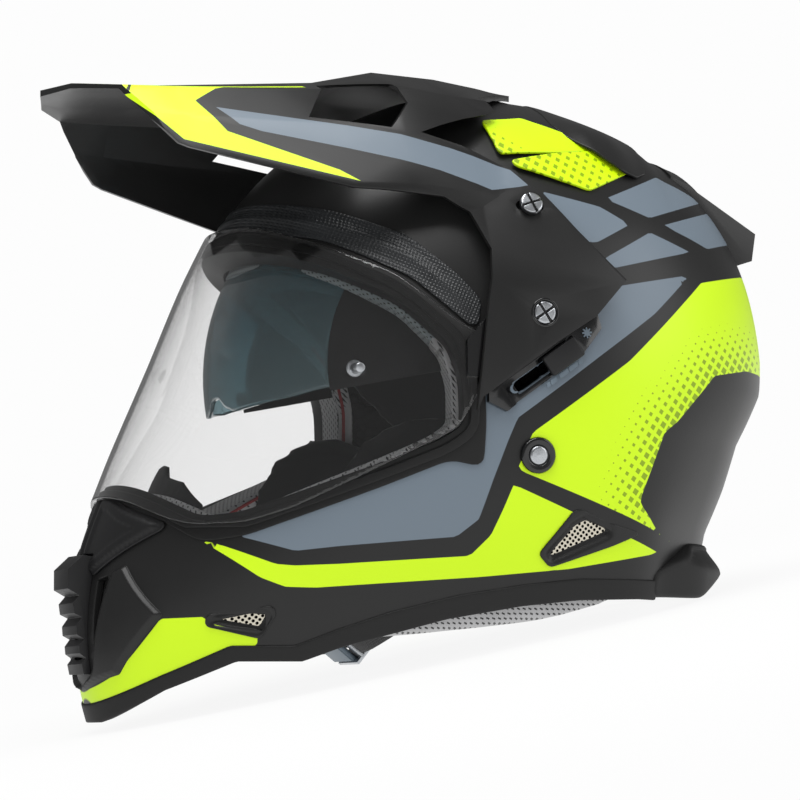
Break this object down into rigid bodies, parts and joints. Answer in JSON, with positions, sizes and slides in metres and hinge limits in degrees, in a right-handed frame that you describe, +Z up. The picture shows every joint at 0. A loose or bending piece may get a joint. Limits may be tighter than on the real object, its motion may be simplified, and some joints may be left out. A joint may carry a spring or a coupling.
{
  "type": "dual sport helmet",
  "caption": "Full-face dual sport helmet with a long sun peak, a flip-up clear shield, a drop-down inner sun visor on a side slider, chin vents and a ratchet-buckled chin strap.",
  "frame": {"origin": "middle of the bounding box in plan, on the floor that the chin bar and the rear lip stand on", "axes": "+X to the wearer's left, -Y to the front, +Z up, as the helmet stands on its lower edge with its nose raised"},
  "size_m": [0.2696, 0.3912, 0.3205],
  "materials": {
    "shell_paint": "gloss paint with printed panels",
    "peak_paint": "satin paint with printed bands",
    "scoop_paint": "gloss paint",
    "black_plastic": "gloss",
    "matte_black": "fine texture",
    "grey_plastic": "satin",
    "clear_shield": "clear hard-coated polycarbonate",
    "tinted_lens": "tinted gradient polycarbonate",
    "black_rubber": "matte",
    "foam": "expanded polystyrene beads",
    "liner_fabric": "open mesh knit",
    "suede": "brushed suede with stitching",
    "webbing": "woven webbing",
    "steel": "brushed",
    "metal_mesh": "woven mesh"
  },
  "bodies": {
    "helmet": {"breath_guard": "matte_black", "brow_trim": "matte_black", "buckle_body": "steel", "buckle_tongue": "matte_black", "cheek_pad_left": "suede", "cheek_pad_right": "suede", "chin_eps": "foam", "chin_strap_left": "webbing", "chin_strap_right": "webbing", "chin_vent_cover": "matte_black", "chin_vent_mesh_left": "metal_mesh", "chin_vent_mesh_right": "metal_mesh", "crown_liner": "liner_fabric", "crown_scoop_left": "scoop_paint", "crown_scoop_right": "scoop_paint", "eps_liner": "foam", "eyeport_frame": "black_rubber", "eyeport_gasket": "black_rubber", "mouth_grille": "matte_black", "neck_edge_trim": "black_rubber", "neck_roll": "liner_fabric", "outer_shell": "shell_paint", "peak_pivot_screws": "steel", "peak_spacers": "matte_black", "peak_top_screws": "steel", "pivot_hub_left": "matte_black", "pivot_hub_right": "matte_black", "rear_lip": "black_rubber", "rear_spoiler": "black_plastic", "rear_vent_mesh_left": "metal_mesh", "rear_vent_mesh_right": "metal_mesh", "slider_bezel": "black_plastic", "strap_rivets": "steel", "strap_washers": "matte_black", "sun_visor_pins": "steel"},
    "shield": {"face_shield": "clear_shield", "shield_lens_pins": "steel"},
    "peak": {"peak": "peak_paint"},
    "sun_visor": {"sun_visor_lens": "tinted_lens", "sun_visor_arm_left": "matte_black", "sun_visor_arm_right": "matte_black"},
    "slider": {"slider_knob": "matte_black", "slider_carriage": "matte_black"},
    "buckle_lever": {"buckle_lever": "grey_plastic"}
  },
  "joints": [
    {"name": "shield_hinge", "type": "hinge", "parent": "helmet", "child": "shield", "pos_m": [0, 0.03894, 0.15693], "axis": [-1, 0, 0], "range_deg": [0, 33]},
    {"name": "peak_tilt", "type": "hinge", "parent": "helmet", "child": "peak", "pos_m": [0, 0.03894, 0.15693], "axis": [-1, 0, 0], "range_deg": [-1.5, 3]},
    {"name": "sun_slider", "type": "slide", "parent": "helmet", "child": "slider", "axis": [0, -0.9262, -0.3771], "range_m": [0, 0.024]},
    {"name": "sun_visor_hinge", "type": "hinge", "parent": "helmet", "child": "sun_visor", "pos_m": [0, 0.01791, 0.13936], "axis": [-1, 0, 0], "range_deg": [0, 45]},
    {"name": "buckle_lever_hinge", "type": "hinge", "parent": "helmet", "child": "buckle_lever", "pos_m": [0.025, -0.06739, 0.01819], "axis": [0, -0.6219, 0.7831], "range_deg": [0, 22], "stiffness_Nm_per_rad": 0.05, "springref_deg": -11.46}
  ],
  "couplings": [
    {"joint": "sun_visor_hinge", "follows": "sun_slider", "rad_per_m": 32.725}
  ]
}
